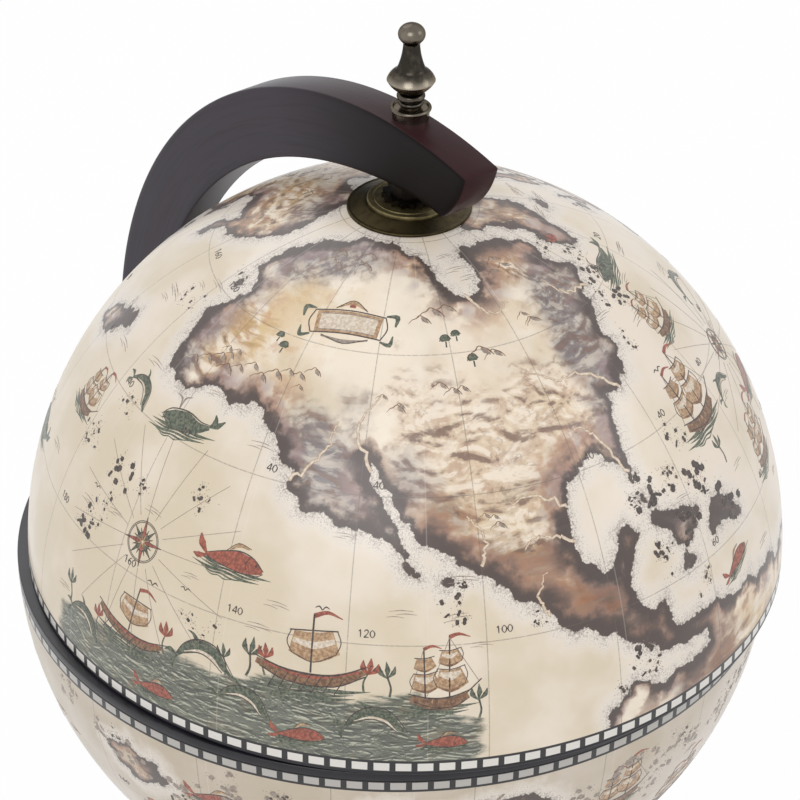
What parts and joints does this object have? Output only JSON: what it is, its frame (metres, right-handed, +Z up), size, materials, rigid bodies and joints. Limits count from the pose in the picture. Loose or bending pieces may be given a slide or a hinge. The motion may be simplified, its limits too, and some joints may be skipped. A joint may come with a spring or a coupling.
{
  "type": "tabletop globe bar",
  "caption": "Tabletop globe on a C-shaped wooden arm and turned base; its hinged upper half swings back to open a bottle and glass tray in the lower half.",
  "frame": {"origin": "centre of the felt disc's underside, on the table", "axes": "+Z up along the stand's axis, +Y towards the back where the arm and its hinge are, +X to the right seen from the front"},
  "size_m": [0.3333, 0.3757, 0.49],
  "materials": {
    "map_paper": "varnished printed map paper on a moulded shell, satin",
    "black_rim": "black gloss lacquer",
    "dark_wood": "dark mahogany stain, satin lacquer",
    "tray_wood": "red-brown stain, satin lacquer",
    "brass": "antique bronze, brushed and darkened",
    "steel": "zinc-plated steel",
    "black_steel": "blackened steel",
    "felt": "black felt"
  },
  "bodies": {
    "stand": {"base_felt": "felt", "base_plinth": "dark_wood", "base_pedestal": "dark_wood", "arm_lower": "dark_wood", "base_screws": "steel", "hinge_pin": "steel", "bowl_bolt": "steel", "bowl_cap_nut": "steel", "hinge_leaf_lower": "brass", "hinge_screws_lower": "brass", "bowl_hub": "brass", "bowl_tooth_washer": "black_steel"},
    "bowl": {"bowl_shell": "map_paper", "bowl_rim": "black_rim", "bowl_hour_disc": "brass", "bowl_hour_plate": "brass", "bowl_backing_plate": "brass", "bottle_cup": "tray_wood", "tray_board": "tray_wood", "shelf_board": "tray_wood", "tray_posts": "tray_wood", "tray_screws": "steel"},
    "upper_arm": {"arm_upper": "dark_wood", "hinge_leaf_upper": "brass", "hinge_screws_upper": "brass", "finial_cup": "brass", "finial": "brass", "lid_hub": "brass", "lid_bolt": "steel", "lid_cap_nut": "steel", "lid_tooth_washer": "black_steel"},
    "lid": {"lid_shell": "map_paper", "lid_rim": "black_rim", "lid_hour_disc": "brass", "lid_hour_plate": "brass", "lid_backing_plate": "brass"}
  },
  "joints": [
    {"name": "arm_hinge", "type": "hinge", "parent": "stand", "child": "upper_arm", "pos_m": [0, 0.2056, 0.2424], "axis": [-1, 0, 0], "range_deg": [0, 95]},
    {"name": "lid_spin", "type": "hinge", "parent": "upper_arm", "child": "lid", "pos_m": [0.0017, -0.0019, 0.2424], "axis": [0, 0, 1], "continuous": true},
    {"name": "bowl_spin", "type": "hinge", "parent": "stand", "child": "bowl", "pos_m": [-0.0017, 0.0019, 0.2424], "axis": [0, 0, 1], "continuous": true}
  ]
}
